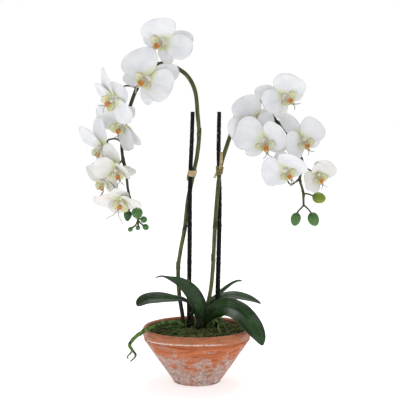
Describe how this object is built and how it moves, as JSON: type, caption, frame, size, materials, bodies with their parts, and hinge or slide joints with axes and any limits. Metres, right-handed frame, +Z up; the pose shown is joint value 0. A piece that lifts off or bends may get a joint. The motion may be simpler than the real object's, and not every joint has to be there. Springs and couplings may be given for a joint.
{
  "type": "potted moth orchid",
  "caption": "White moth orchid with arching flower spikes tied to dark canes, strap leaves and aerial roots, standing in moss in a wide terracotta bowl.",
  "frame": {"origin": "centre of the bowl's foot, on the surface that it stands on", "axes": "+Z up; -Y is the front, the side that most of the blooms face; +X is the viewer's right"},
  "size_m": [0.4892, 0.21, 0.6865],
  "materials": {
    "terracotta": "matte",
    "bark_mix": "matte",
    "moss": "matte",
    "leaf": "satin",
    "stem": "satin",
    "cane": "matte",
    "raffia": "matte",
    "aerial_root": "matte",
    "petal": "satin",
    "lip": "satin",
    "bud": "satin"
  },
  "bodies": {
    "root": {"bowl": "terracotta", "soil": "bark_mix", "moss": "moss", "crown": "leaf", "leaf_a": "leaf", "leaf_b": "leaf", "leaf_c": "leaf", "leaf_d": "leaf", "leaf_e": "leaf", "cane_left": "cane", "spike_left": "stem", "tie_left": "raffia", "root_left": "aerial_root", "cane_right": "cane", "spike_right": "stem", "tie_right": "raffia", "root_right": "aerial_root", "bud_left_1": "bud", "bud_left_2": "bud", "bud_left_3": "bud", "bud_left_4": "bud", "bud_left_5": "bud", "bud_left_6": "bud", "bud_right_1": "bud", "bud_right_2": "bud", "bud_right_3": "bud", "bloom_left_1_tepals": "petal", "bloom_left_1_lip": "lip", "bloom_left_2_tepals": "petal", "bloom_left_2_lip": "lip", "bloom_left_3_tepals": "petal", "bloom_left_3_lip": "lip", "bloom_left_4_tepals": "petal", "bloom_left_4_lip": "lip", "bloom_left_5_tepals": "petal", "bloom_left_5_lip": "lip", "bloom_left_6_tepals": "petal", "bloom_left_6_lip": "lip", "bloom_left_7_tepals": "petal", "bloom_left_7_lip": "lip", "bloom_left_8_tepals": "petal", "bloom_left_8_lip": "lip", "bloom_right_1_tepals": "petal", "bloom_right_1_lip": "lip", "bloom_right_2_tepals": "petal", "bloom_right_2_lip": "lip", "bloom_right_3_tepals": "petal", "bloom_right_3_lip": "lip", "bloom_right_4_tepals": "petal", "bloom_right_4_lip": "lip", "bloom_right_5_tepals": "petal", "bloom_right_5_lip": "lip", "bloom_right_6_tepals": "petal", "bloom_right_6_lip": "lip"}
  },
  "joints": []
}
